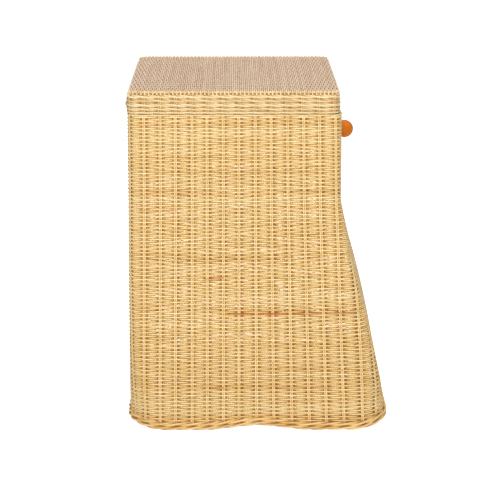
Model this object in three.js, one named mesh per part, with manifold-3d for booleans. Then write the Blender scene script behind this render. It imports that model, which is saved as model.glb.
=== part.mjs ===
// Woven rattan laundry hamper with a hinged lid and a wooden ball knob.
// Millimetres, +Z up. +X is the front (knob side), -X the straight back (hinge side), and Y runs across.
// The origin is on the floor, under the middle of the hamper's bounding box.
import * as THREE from "three";
import { mergeVertices } from "three/addons/utils/BufferGeometryUtils.js";
import Module from "manifold-3d";

const wasm = await Module();
wasm.setup();

// ---- overall sizes ----
const BACK_TOP = -225.25; // outer face of the back wall under the lid
const BACK_BASE = -227.75; // the same face at the floor, leaning out a little
const FRONT_TOP = 144.25; // outer face of the front wall under the lid
const FRONT_BASE = 227.75; // the same face at the floor
const FLARE_START = 410; // height at which the front begins to slope outwards
const HALF_WIDTH_TOP = 239;
const HALF_WIDTH_BASE = 242.5;
const WALL = 9.2; // stakes with a weaver on either side
const WALL_TOP = 562.4;
const SWELL = 6; // how far a side panel swells out at mid height
const SWELL_LOW = 60;
const SWELL_HIGH = 440;

// ---- foot border ----
const BORDER_H = 16;
const BORDER_PROUD = 4;
const BORDER_IN = 12;
const ARCH_H = 9.5; // rise of the border in the middle of the left and right sides
const ARCH_HALF = 83;
const END_LIFT = 11; // rise of the border along the front and the back, and round the corners to them
const FOOT_Z = 15; // height at which the foot's outline is taken

// ---- frame rods ----
const BASE_ROD_R = 5;
const BASE_ROD_Z = 16.5;
const BASE_ROD_IN = 18.5; // inset of the base hoop's centre from the wall's outer face
const BAR_R = 4.5;
const BASE_BAR_X = [-135, 0, 135];
const POST_R = 5;
const TOP_HOOP_R = 4.5;
const TOP_HOOP_Z = 556.5;
const TOP_HOOP_IN = 14.2;

// ---- base panel ----
const FLOOR_Z = 21.9;
const FLOOR_T = 6;
const FLOOR_IN = 12.6;

// ---- lid ----
const LID_BACK = -227.25;
const LID_FRONT = 142.5;
const LID_HALF_WIDTH = 240;
const LID_CORNER_R = 20;
const LID_BOTTOM = 563.6;
const LID_RIM_TOP = 595.6;
const LID_PANEL_Z = 596;
const LID_PANEL_T = 7.4;
const LID_PANEL_BACK = -223.25;
const LID_PANEL_FRONT = 140.25;
const LID_PANEL_HALF = 239;
const LID_RIM_T = 9.5;
const LID_HOOP_R = 5;
const LID_HOOP_IN = 15;
const LID_HOOP_Z = 590.5;
const LID_BAR_X = [-131.25, -43.75, 43.75];

// ---- hinge rings, each a circle round the hinge line ----
const HINGE_X = -226.75;
const HINGE_Z = 563;
const RING_R = 5.6;
const RING_WIRE_R = 1.3;
const RING_CLEAR = 0.6;
const RING_Y = 115;

// ---- ball knob ----
const BALL_R = 16;
const BALL_X = 160.3;
const BALL_Z = 499.2;
const SCREW_R = 2;
const SCREW_CLEAR = 0.35;
const DISC_R = 14;
const DISC_T = 4;

// ---- sampling ----
const SIDE_CUTS = [-0.75, -0.51, -0.34, -0.17, 0, 0.17, 0.34, 0.51, 0.75];
const CORNER_STEPS = 6;
const ROD_SIDES = 10;

const lerp = (a, b, t) => a + (b - a) * t;
const clamp01 = (t) => Math.min(1, Math.max(0, t));
const smooth = (t) => clamp01(t) ** 2 * (3 - 2 * clamp01(t));

// Linear interpolation in a table of [height, value] rows that rise in height.
function table(rows, z) {
  if (z <= rows[0][0]) return rows[0][1];
  for (let i = 1; i < rows.length; i++) {
    const [z0, v0] = rows[i - 1];
    const [z1, v1] = rows[i];
    if (z <= z1) return lerp(v0, v1, (z - z0) / (z1 - z0));
  }
  return rows[rows.length - 1][1];
}

// Plan corner radius: square shoulders above, well rounded at the foot.
const cornerRadius = (z) =>
  table([[FOOT_Z, 65], [38, 62], [80, 46], [150, 32], [230, 24], [300, 18]], z);

const backX = (z) => table([[FOOT_Z, BACK_BASE], [FLARE_START, BACK_TOP]], z);

// Front face: upright shoulder, long slope, then nearly upright again at the foot.
const frontX = (z) =>
  table([[FOOT_Z, FRONT_BASE], [70, 220.8], [160, 202], [303, 164.5], [FLARE_START, FRONT_TOP]], z);

const halfWidth = (z) => table([[FOOT_Z, HALF_WIDTH_BASE], [FLARE_START, HALF_WIDTH_TOP]], z);

const swellAt = (z) =>
  SWELL * Math.sin(Math.PI * clamp01((z - SWELL_LOW) / (SWELL_HIGH - SWELL_LOW))) ** 2;

// Horizontal outline of a rounded rectangle, counter-clockwise seen from above. Each point carries where it is
// on its side (u from -1 to 1, halfLength in mm, end at the front and back) or its corner (angle in degrees).
function outline({ back, front, half, radius, inset, swell = 0, cuts = SIDE_CUTS, steps = CORNER_STEPS }) {
  const x0 = back + inset;
  const x1 = front - inset;
  const w = half - inset;
  const r = Math.max(radius - inset, 3);
  const sides = [
    { from: [x0 + r, -w], to: [x1 - r, -w], normal: [0, -1] },
    { from: [x1, -w + r], to: [x1, w - r], normal: [1, 0] },
    { from: [x1 - r, w], to: [x0 + r, w], normal: [0, 1] },
    { from: [x0, w - r], to: [x0, -w + r], normal: [-1, 0] },
  ];
  const points = [];
  for (const { from, to, normal } of sides) {
    const halfLength = Math.hypot(to[0] - from[0], to[1] - from[1]) / 2;
    for (const u of [-1, ...cuts, 1]) {
      const t = (u + 1) / 2;
      const out = swell * Math.cos((Math.PI / 2) * u) ** 2;
      points.push({
        x: lerp(from[0], to[0], t) + normal[0] * out,
        y: lerp(from[1], to[1], t) + normal[1] * out,
        u,
        halfLength,
        end: normal[0] !== 0,
      });
    }
    const centre = [to[0] - normal[0] * r, to[1] - normal[1] * r];
    const start = Math.atan2(normal[1], normal[0]);
    for (let i = 1; i < steps; i++) {
      const a = start + ((Math.PI / 2) * i) / steps;
      points.push({
        x: centre[0] + r * Math.cos(a),
        y: centre[1] + r * Math.sin(a),
        angle: (90 * (normal[1] !== 0 ? i : steps - i)) / steps,
      });
    }
  }
  return points;
}

const bodyOutline = (z, inset, options = {}) =>
  outline({
    back: backX(z),
    front: frontX(z),
    half: halfWidth(z),
    radius: cornerRadius(z),
    swell: swellAt(z),
    inset,
    ...options,
  });

const lidOutline = (inset, options = {}) =>
  outline({
    back: LID_BACK,
    front: LID_FRONT,
    half: LID_HALF_WIDTH,
    radius: LID_CORNER_R,
    inset,
    ...options,
  });

// Height of the border's lower edge: it arches up in the middle of the left and right sides, and rises round
// each corner to the front and the back. The angle is 0 at a left or right side and 90 at the front or back.
function borderLift(p) {
  if (p.angle !== undefined) return END_LIFT * smooth(p.angle / 90);
  if (p.end) return END_LIFT;
  const fromMiddle = Math.abs(p.u) * p.halfLength;
  return ARCH_H * (1 - Math.min(1, fromMiddle / ARCH_HALF) ** 1.15);
}

// Joins rings of equal length into one closed skin. With wrap, the last ring joins the first (a hollow ring);
// without it, the end rings are closed by flat fans (a solid block).
function skin(rings, wrap) {
  const n = rings[0].length;
  const points = rings.flat();
  const faces = [];
  const last = wrap ? rings.length : rings.length - 1;
  for (let j = 0; j < last; j++) {
    const a = j * n;
    const b = ((j + 1) % rings.length) * n;
    for (let i = 0; i < n; i++) {
      const k = (i + 1) % n;
      faces.push([a + i, a + k, b + k], [a + i, b + k, b + i]);
    }
  }
  if (!wrap) {
    const contour = rings[0].map((p) => new THREE.Vector2(p[0], p[1]));
    for (const [i, j, k] of THREE.ShapeUtils.triangulateShape(contour, [])) {
      const top = (rings.length - 1) * n;
      faces.push([k, j, i], [top + i, top + j, top + k]);
    }
  }
  const geometry = new THREE.BufferGeometry();
  geometry.setAttribute("position", new THREE.Float32BufferAttribute(points.flat(), 3));
  geometry.setIndex(faces.flat());
  return geometry;
}

const at = (points, z) => points.map((p) => [p.x, p.y, typeof z === "function" ? z(p) : z]);

// ---- boolean helpers ----
function solid(geometry) {
  const bare = geometry.clone();
  for (const name of Object.keys(bare.attributes)) if (name !== "position") bare.deleteAttribute(name);
  const merged = mergeVertices(bare, 1e-4);
  return new wasm.Manifold(
    new wasm.Mesh({
      numProp: 3,
      vertProperties: new Float32Array(merged.attributes.position.array),
      triVerts: new Uint32Array(merged.index.array),
    }),
  );
}

function geometryOf(manifold) {
  const mesh = manifold.getMesh();
  const geometry = new THREE.BufferGeometry();
  geometry.setAttribute("position", new THREE.BufferAttribute(new Float32Array(mesh.vertProperties), 3));
  geometry.setIndex(new THREE.BufferAttribute(new Uint32Array(mesh.triVerts), 1));
  return geometry;
}

const without = (geometry, ...tools) =>
  geometryOf(tools.reduce((body, tool) => body.subtract(solid(tool)), solid(geometry)));

// ---- simple shapes ----
// A rod along a straight axis, centred on the point given.
function rod(radius, length, axis, centre, sides = ROD_SIDES) {
  const geometry = new THREE.CylinderGeometry(radius, radius, length, sides);
  if (axis === "x") geometry.rotateZ(-Math.PI / 2);
  if (axis === "z") geometry.rotateX(Math.PI / 2);
  geometry.translate(...centre);
  return geometry;
}

// A rod bent into a closed hoop that follows an outline given as a function of inset, at one height.
function hoop(outlineAt, inset, z, radius, sides = 8) {
  const rings = [];
  for (let i = 0; i < sides; i++) {
    const a = (2 * Math.PI * (i + 0.5)) / sides;
    rings.push(at(outlineAt(inset - radius * Math.cos(a)), z + radius * Math.sin(a)));
  }
  return skin(rings, true);
}

// ---- woven parts of the body ----
function bodyWeave() {
  const heights = [44, 70, 100, 130, 160, 195, 230, 265, 303, 355, FLARE_START, 470, WALL_TOP];
  const foot = (p) => borderLift(p) + BORDER_H + 0.9;
  const outer = heights.map((z) => at(bodyOutline(z, 0), z));
  const inner = heights.map((z) => at(bodyOutline(z, WALL), z)).reverse();
  const outerFoot = at(bodyOutline(FOOT_Z, 0), foot);
  const innerFoot = at(bodyOutline(FOOT_Z, WALL), foot);
  const shell = skin([outerFoot, ...outer, ...inner, innerFoot], true);
  const screwHole = rod(SCREW_R + SCREW_CLEAR, 30, "x", [FRONT_TOP - 5, 0, BALL_Z], 12);
  return without(shell, screwHole, hingeRing(-RING_Y, RING_CLEAR), hingeRing(RING_Y, RING_CLEAR));
}

function footBorder() {
  const section = [
    [-BORDER_PROUD, 4],
    [-BORDER_PROUD, 12],
    [-BORDER_PROUD + 3, BORDER_H],
    [BORDER_IN - 3, BORDER_H],
    [BORDER_IN, 12],
    [BORDER_IN, 4],
    [BORDER_IN - 3, 0],
    [-BORDER_PROUD + 3, 0],
  ];
  return skin(section.map(([inset, h]) => at(bodyOutline(FOOT_Z, inset), (p) => h + borderLift(p))), true);
}

function baseWeave() {
  const edge = bodyOutline(FOOT_Z, FLOOR_IN, { cuts: [] });
  return skin([at(edge, FLOOR_Z), at(edge, FLOOR_Z + FLOOR_T)], false);
}

// ---- frame of the body ----
const plainHoop = { cuts: [], steps: 5 };
const baseHoop = () => hoop((d) => bodyOutline(FOOT_Z, d, plainHoop), BASE_ROD_IN, BASE_ROD_Z, BASE_ROD_R);
const topHoop = () => hoop((d) => bodyOutline(WALL_TOP, d, plainHoop), TOP_HOOP_IN, TOP_HOOP_Z, TOP_HOOP_R);

function baseBar(x) {
  const reach = halfWidth(FOOT_Z) - BASE_ROD_IN - BASE_ROD_R - 0.5;
  return rod(BAR_R, 2 * reach, "y", [x, 0, BASE_ROD_Z]);
}

// A corner post stands on the base panel and follows the inside of its corner up to the top hoop.
function cornerPost(frontSign, sideSign) {
  const bottom = FLOOR_Z + FLOOR_T + 0.4;
  const top = TOP_HOOP_Z - TOP_HOOP_R - 0.4;
  const heights = [bottom, 40, 60, 80, 115, 160, 190, 230, 303, 360, FLARE_START, 470, top];
  const rings = heights.map((z) => {
    const inset = z < 60 ? 17.8 : 16.4;
    const r = Math.max(cornerRadius(z) - inset, 3);
    const corner = inset + r * (1 - Math.SQRT1_2);
    const x = frontSign > 0 ? frontX(z) - corner : backX(z) + corner;
    const y = sideSign * (halfWidth(z) - corner);
    const ring = [];
    for (let i = 0; i < 8; i++) {
      const a = (2 * Math.PI * i) / 8;
      ring.push([x + POST_R * Math.cos(a), y + POST_R * Math.sin(a), z]);
    }
    return ring;
  });
  return skin(rings, false);
}

// ---- lid ----
function lidRimWeave() {
  const section = [
    [1.5, LID_BOTTOM],
    [0, LID_BOTTOM + 5],
    [0, LID_RIM_TOP - 5],
    [1.5, LID_RIM_TOP],
    [LID_RIM_T - 1, LID_RIM_TOP],
    [LID_RIM_T, LID_RIM_TOP - 5],
    [LID_RIM_T, LID_BOTTOM + 5],
    [LID_RIM_T - 1, LID_BOTTOM],
  ];
  const ring = skin(section.map(([inset, z]) => at(lidOutline(inset, { cuts: [] }), z)), true);
  return without(ring, hingeRing(-RING_Y, RING_CLEAR), hingeRing(RING_Y, RING_CLEAR));
}

function lidWeave() {
  const size = { back: LID_PANEL_BACK, front: LID_PANEL_FRONT, half: LID_PANEL_HALF, radius: LID_CORNER_R };
  const edge = (inset, z) => at(outline({ ...size, cuts: [], inset }), z);
  const top = LID_PANEL_Z + LID_PANEL_T;
  return skin([edge(0.5, LID_PANEL_Z), edge(0, LID_PANEL_Z + 2), edge(2.2, top - 2.2), edge(6.5, top)], false);
}

const lidHoop = () => hoop((d) => lidOutline(d, plainHoop), LID_HOOP_IN, LID_HOOP_Z, LID_HOOP_R);

function lidBar(x) {
  const reach = LID_HALF_WIDTH - LID_HOOP_IN - LID_HOOP_R - 0.5;
  return rod(BAR_R, 2 * reach, "y", [x, 0, LID_PANEL_Z - 0.5 - BAR_R]);
}

// ---- hinge: a ring centred on the hinge line, threaded through the lid rim and the top of the back wall ----
function hingeRing(y, grow = 0) {
  const ring = new THREE.TorusGeometry(RING_R, RING_WIRE_R + grow, 8, 24);
  ring.rotateX(Math.PI / 2);
  ring.translate(HINGE_X, y, HINGE_Z);
  return ring;
}

// ---- knob ----
function knobBall() {
  const ball = new THREE.SphereGeometry(BALL_R, 24, 14);
  ball.translate(BALL_X, 0, BALL_Z);
  const seat = new THREE.BoxGeometry(20, 60, 60);
  seat.translate(FRONT_TOP + 0.6 - 10, 0, BALL_Z);
  const bore = rod(SCREW_R + SCREW_CLEAR, 40, "x", [FRONT_TOP, 0, BALL_Z], 12);
  return without(ball, seat, bore);
}

// The backing disc lies flat on the inside of the front wall; the screw's head presses on it.
const discFront = FRONT_TOP - WALL - 0.4;

function knobDisc() {
  const disc = rod(DISC_R, DISC_T, "x", [discFront - DISC_T / 2, 0, BALL_Z], 24);
  return without(disc, rod(SCREW_R + SCREW_CLEAR, 30, "x", [discFront, 0, BALL_Z], 12));
}

function knobScrew() {
  const headX = discFront - DISC_T - 0.3;
  const tipX = FRONT_TOP + 18;
  const profile = [
    [0, 0],
    [4.2, 0],
    [4.2, 1.4],
    [SCREW_R, 2.6],
    [SCREW_R, tipX - headX - 2],
    [0.6, tipX - headX + 2],
    [0, tipX - headX + 2],
  ].map(([r, h]) => new THREE.Vector2(r, h));
  const screw = new THREE.LatheGeometry(profile, 12);
  screw.rotateZ(-Math.PI / 2);
  screw.translate(headX - 2.6, 0, BALL_Z);
  return screw;
}

// ---- scene graph ----
const rattan = { color: 0xdcb478, roughness: 0.55, metalness: 0 };
const pole = { color: 0xc89a5c, roughness: 0.5, metalness: 0 };
const orange = { color: 0xcb7529, roughness: 0.6, metalness: 0 };
const steel = { color: 0xb8b8b4, roughness: 0.35, metalness: 1 };

function named(name, geometry, look) {
  const mesh = new THREE.Mesh(geometry, new THREE.MeshStandardMaterial(look));
  mesh.name = name;
  return mesh;
}

const body = new THREE.Group();
body.add(
  named("body_weave", bodyWeave(), rattan),
  named("foot_border", footBorder(), rattan),
  named("base_weave", baseWeave(), rattan),
  named("base_hoop", baseHoop(), pole),
  named("top_hoop", topHoop(), pole),
  named("post_front_left", cornerPost(1, 1), pole),
  named("post_front_right", cornerPost(1, -1), pole),
  named("post_back_left", cornerPost(-1, 1), pole),
  named("post_back_right", cornerPost(-1, -1), pole),
  named("hinge_ring_left", hingeRing(RING_Y), rattan),
  named("hinge_ring_right", hingeRing(-RING_Y), rattan),
  named("knob_ball", knobBall(), orange),
  named("knob_backing_disc", knobDisc(), pole),
  named("knob_screw", knobScrew(), steel),
);
BASE_BAR_X.forEach((x, i) => body.add(named(`base_bar_${i + 1}`, baseBar(x), pole)));

const lid = new THREE.Group();
lid.add(
  named("lid_weave", lidWeave(), rattan),
  named("lid_rim_weave", lidRimWeave(), rattan),
  named("lid_hoop", lidHoop(), pole),
);
LID_BAR_X.forEach((x, i) => lid.add(named(`lid_bar_${i + 1}`, lidBar(x), pole)));

const hamper = new THREE.Group();
hamper.add(body, lid);

export default hamper;
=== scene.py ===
# %% [markdown]
# # A woven rattan laundry hamper
# The hamper is a box of round rattan core woven over pairs of upright stakes. It has a straight back, a
# front that slopes out to the foot, a flat woven lid with a thick rim, and an orange ball on the front. The
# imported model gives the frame: which parts there are, where they sit, and how the lid turns. This script
# gives each part its look. Nearly everything here is a strand that follows a rule, so one Geometry Nodes
# tree makes them all.

# %% Load the frame
import math

import bmesh
import bpy
import numpy as np
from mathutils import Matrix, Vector


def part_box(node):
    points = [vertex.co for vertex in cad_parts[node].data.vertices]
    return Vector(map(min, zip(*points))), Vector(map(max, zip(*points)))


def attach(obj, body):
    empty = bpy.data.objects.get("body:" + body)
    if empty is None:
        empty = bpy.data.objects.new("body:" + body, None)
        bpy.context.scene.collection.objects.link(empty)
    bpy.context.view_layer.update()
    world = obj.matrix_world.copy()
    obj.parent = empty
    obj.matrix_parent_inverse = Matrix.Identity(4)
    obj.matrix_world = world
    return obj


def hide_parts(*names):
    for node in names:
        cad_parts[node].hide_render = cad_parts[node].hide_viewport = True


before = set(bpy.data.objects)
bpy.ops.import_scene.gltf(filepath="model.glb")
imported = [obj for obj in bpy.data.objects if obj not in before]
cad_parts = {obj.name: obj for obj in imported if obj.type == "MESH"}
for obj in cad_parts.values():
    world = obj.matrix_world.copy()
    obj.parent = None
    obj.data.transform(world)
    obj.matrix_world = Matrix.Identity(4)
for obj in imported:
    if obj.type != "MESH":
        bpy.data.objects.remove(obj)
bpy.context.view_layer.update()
MM = 0.001
rng = np.random.default_rng(20)
scene = bpy.context.scene

# %% [markdown]
# ## Camera
# A long lens from three and a half metres away keeps the upright edges nearly parallel. The camera stands
# half a metre above the lid and looks down by 12.5 degrees, so that the lid shows as a thin slanted band.

# %% Camera
LOOK_DOWN, LOOK_ASIDE = 12.505, -0.401
camera = bpy.data.objects.new("camera", bpy.data.cameras.new("camera"))
camera.data.sensor_width = 36
camera.data.lens = 151.3
camera.data.clip_start = 0.05
camera.data.clip_end = 200
camera.location = (-0.04475, -3.744, 1.1088)
camera.rotation_euler = (math.radians(90 - LOOK_DOWN), 0, math.radians(LOOK_ASIDE))
scene.collection.objects.link(camera)
scene.camera = camera
print("camera lens", round(camera.data.lens, 1), "mm at", tuple(camera.location))

# %% [markdown]
# ## Colours and nodes
# Colours are written as the hex values a screen shows. Shaders want linear light, so one function converts
# them. One small helper adds a node, sets its settings, fills its inputs and links them.


# %% Helpers for colours and nodes
def linear(hex_colour):
    """Turns an sRGB hex colour such as "#E6C587" into linear red, green, blue and alpha."""
    channels = [int(hex_colour[i : i + 2], 16) / 255 for i in (1, 3, 5)]
    return [c / 12.92 if c <= 0.04045 else ((c + 0.055) / 1.055) ** 2.4 for c in channels] + [1.0]


def add_node(tree, kind, settings=None, **inputs):
    """Adds a node. Settings are its own properties. An input is a value, or a socket to link from."""
    node = tree.nodes.new(kind)
    for key, value in (settings or {}).items():
        setattr(node, key, value)
    for key, value in inputs.items():
        socket = node.inputs[int(key[3:])] if key[:3] == "in_" else node.inputs[key.replace("_", " ")]
        if isinstance(value, bpy.types.NodeSocket):
            tree.links.new(value, socket)
        else:
            socket.default_value = value
    return node


def set_ramp(node, stops):
    """Fills a Color Ramp with (position, hex colour) stops."""
    ramp = node.color_ramp
    while len(ramp.elements) < len(stops):
        ramp.elements.new(0.5)
    for element, (position, colour) in zip(ramp.elements, stops):
        element.position = position
        element.color = linear(colour)


def new_material(name, roughness, ior=1.5):
    """An empty Principled material: returns the material, its tree and its shader."""
    material = bpy.data.materials.new(name)
    material.use_nodes = True
    tree = material.node_tree
    shader = tree.nodes["Principled BSDF"]
    shader.inputs["Roughness"].default_value = roughness
    shader.inputs["IOR"].default_value = ior
    return material, tree, shader


# %% [markdown]
# ## Floor and light
# The hamper stands on white paper in a bright white studio. A large soft key light stands straight in front
# of the near side, at about head height, and a larger one hangs above the lid. The fill light on the left
# is weak, so the left edge falls away a little. The paper glows, and the world is fully white, only for the
# rays that come from the camera: the ground then stays white up to the horizon, and the gaps in the weave
# keep their shade.

# %% Floor and light
FLOOR_GLOW = 0.95
WORLD_LIGHT = 0.24
FLOOR_REACH = 30
floor_material, floor_tree, floor_shader = new_material("white studio paper", 0.9)
paper = add_node(floor_tree, "ShaderNodeTexNoise", Scale=60.0, Detail=3.0)
paper_ramp = add_node(floor_tree, "ShaderNodeValToRGB", Fac=paper.outputs["Fac"])
set_ramp(paper_ramp, [(0.3, "#F7F7F6"), (0.7, "#FBFBFA")])
floor_tree.links.new(paper_ramp.outputs["Color"], floor_shader.inputs["Base Color"])
seen = add_node(floor_tree, "ShaderNodeLightPath").outputs["Is Camera Ray"]
glow = add_node(floor_tree, "ShaderNodeMath", {"operation": "MULTIPLY"}, in_0=seen, in_1=FLOOR_GLOW)
floor_shader.inputs["Emission Color"].default_value = (1, 1, 1, 1)
floor_tree.links.new(glow.outputs[0], floor_shader.inputs["Emission Strength"])

floor_mesh = bpy.data.meshes.new("floor")
floor_corners = [(x * FLOOR_REACH, y * FLOOR_REACH, 0) for x, y in ((-1, -1), (1, -1), (1, 1), (-1, 1))]
floor_mesh.from_pydata(floor_corners, [], [(0, 1, 2, 3)])
floor_mesh.materials.append(floor_material)
floor = bpy.data.objects.new("floor", floor_mesh)
scene.collection.objects.link(floor)

scene.view_settings.view_transform = "Standard"
scene.world = bpy.data.worlds.new("studio")
scene.world.use_nodes = True
sky_tree = scene.world.node_tree
sky = sky_tree.nodes["Background"].inputs
sky["Color"].default_value = (1, 1, 1, 1)
seen = add_node(sky_tree, "ShaderNodeLightPath").outputs["Is Camera Ray"]
strength = add_node(
    sky_tree, "ShaderNodeMath", {"operation": "MULTIPLY_ADD"},
    in_0=seen, in_1=1 - WORLD_LIGHT, in_2=WORLD_LIGHT,
)
sky_tree.links.new(strength.outputs[0], sky["Strength"])


def soft_light(name, place, size, power):
    """A square area light that faces the middle of the hamper."""
    lamp = bpy.data.objects.new(name, bpy.data.lights.new(name, "AREA"))
    lamp.data.size = size
    lamp.data.energy = power
    lamp.location = place
    lamp.rotation_euler = (Vector((0, 0, 0.3)) - Vector(place)).to_track_quat("-Z", "Y").to_euler()
    scene.collection.objects.link(lamp)


soft_light("key light", (0.0, -3.7, 1.5), 1.6, 85)
soft_light("fill light", (-2.6, -2.0, 1.6), 1.8, 2)
soft_light("overhead light", (0, 0.2, 3.4), 2.4, 75)
print("floor and lights made")

# %% [markdown]
# ## Rattan finishes
# Rattan core is the inside of the palm's stem, drawn through a die to a round rod. It is pale straw, with
# long fibre streaks and now and then a brown patch. Each strand carries three values of its own: tone (how
# pale it is, lowered in places as painted shade), stain (how brown) and grain (its own lengthwise and round
# coordinates in millimetres), so that the fibres follow the bends.


# %% Material for round core
FIBRES_PER_MM = (0.04, 2.4, 2.4)
PATCHES_PER_MM = (0.05, 0.12, 0.12)


def rattan_core(name, stops, stain_colour, roughness, mottle=0.3):
    """Peeled rattan core. Fibres are about 25 mm long and 0.4 mm wide, patches 20 mm long and 8 mm wide."""
    material, tree, shader = new_material(name, roughness)
    grain = add_node(tree, "ShaderNodeAttribute", {"attribute_name": "grain"})
    tone = add_node(tree, "ShaderNodeAttribute", {"attribute_name": "tone"})
    stain = add_node(tree, "ShaderNodeAttribute", {"attribute_name": "stain"})
    fibre_space = add_node(tree, "ShaderNodeMapping", Vector=grain.outputs["Vector"], Scale=FIBRES_PER_MM)
    fibres = add_node(tree, "ShaderNodeTexNoise", Vector=fibre_space.outputs[0], Scale=1.0, Detail=3.0)
    patch_space = add_node(tree, "ShaderNodeMapping", Vector=grain.outputs["Vector"], Scale=PATCHES_PER_MM)
    patches = add_node(tree, "ShaderNodeTexNoise", Vector=patch_space.outputs[0], Scale=1.0, Detail=4.0)
    both = add_node(
        tree, "ShaderNodeMath", {"operation": "ADD"}, in_0=fibres.outputs["Fac"], in_1=patches.outputs["Fac"]
    )
    spread = add_node(
        tree, "ShaderNodeMath", {"operation": "MULTIPLY_ADD"}, in_0=both.outputs[0], in_1=mottle, in_2=-mottle
    )
    level = add_node(
        tree, "ShaderNodeMath", {"operation": "ADD"}, in_0=tone.outputs["Fac"], in_1=spread.outputs[0]
    )
    shade = add_node(tree, "ShaderNodeValToRGB", Fac=level.outputs[0])
    set_ramp(shade, stops)
    patchy = add_node(
        tree, "ShaderNodeMath", {"operation": "MULTIPLY", "use_clamp": True},
        in_0=stain.outputs["Fac"], in_1=patches.outputs["Fac"],
    )
    stronger = add_node(
        tree, "ShaderNodeMath", {"operation": "MULTIPLY", "use_clamp": True}, in_0=patchy.outputs[0], in_1=1.8
    )
    colour = add_node(
        tree, "ShaderNodeMix", {"data_type": "RGBA"},
        in_0=stronger.outputs[0], in_6=shade.outputs["Color"], in_7=linear(stain_colour),
    )
    tree.links.new(colour.outputs[2], shader.inputs["Base Color"])
    bump = add_node(tree, "ShaderNodeBump", Strength=0.25, Distance=0.2 * MM, Height=fibres.outputs["Fac"])
    tree.links.new(bump.outputs["Normal"], shader.inputs["Normal"])
    return material


STRAW = [(0.0, "#B9803A"), (0.2, "#DDB065"), (0.45, "#F0CD8C"), (0.7, "#F8DFA8"), (1.0, "#FDF0C9")]
WARM_STRAW = [(0.0, "#A86F2A"), (0.2, "#CE9A4C"), (0.45, "#E6BD74"), (0.7, "#F1D190"), (1.0, "#F9E4B2")]
RIM_STRAW = [(0.0, "#AC773A"), (0.2, "#D3A965"), (0.45, "#E7C88E"), (0.7, "#EFD8A9"), (1.0, "#F7EAC8")]
# The lid's colours are greyer than the wall's: partly dust on the top, partly painted sheen, the greyish
# glancing reflection of the white studio on the flat top.
GREY_DUST_AND_SHEEN = [(0.0, "#8E6C4A"), (0.2, "#B9987A"), (0.45, "#D3B79B"), (0.7, "#E2CAB2"), (1.0, "#F0DFCB")]
POLE = [(0.0, "#8A5A28"), (0.2, "#B07D42"), (0.45, "#CB9C5F"), (0.7, "#DDB57C"), (1.0, "#EBCB98")]
core_finish = rattan_core("peeled rattan core", STRAW, "#C87523", 0.55)
rim_finish = rattan_core("peeled rattan core of the lid rim", RIM_STRAW, "#B96A24", 0.55, mottle=0.4)
border_finish = rattan_core("peeled rattan core, thick", WARM_STRAW, "#B96A24", 0.55)
# The lid's grey is partly dust and partly painted sheen.
lid_finish = rattan_core("peeled rattan core, greyed by dust and painted sheen", GREY_DUST_AND_SHEEN, "#7C4E2A", 0.5)
pole_finish = rattan_core("rattan pole with its skin", POLE, "#6E431E", 0.42)
print("rattan finishes made")

# %% [markdown]
# ## The strand tree
# A weaver bows out over one pair of stakes and in behind the next. A wale, the thick row in a rim, is three
# strands that twist round each other. Both follow one rule: a guide line, moved outwards by bow x cos(turn)
# and upwards by rise x sin(turn). With no rise it is a plain weave, with both it is a twist, and with
# neither it is a straight rod. The tree reads outward, up, turn and thick from the guide line, bends it,
# and sweeps a round section along it.


# %% Geometry Nodes tree that turns guide lines into strands
STRANDS_APART = 13.7  # mm of grain from one strand to the next, so that no two look alike


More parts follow.
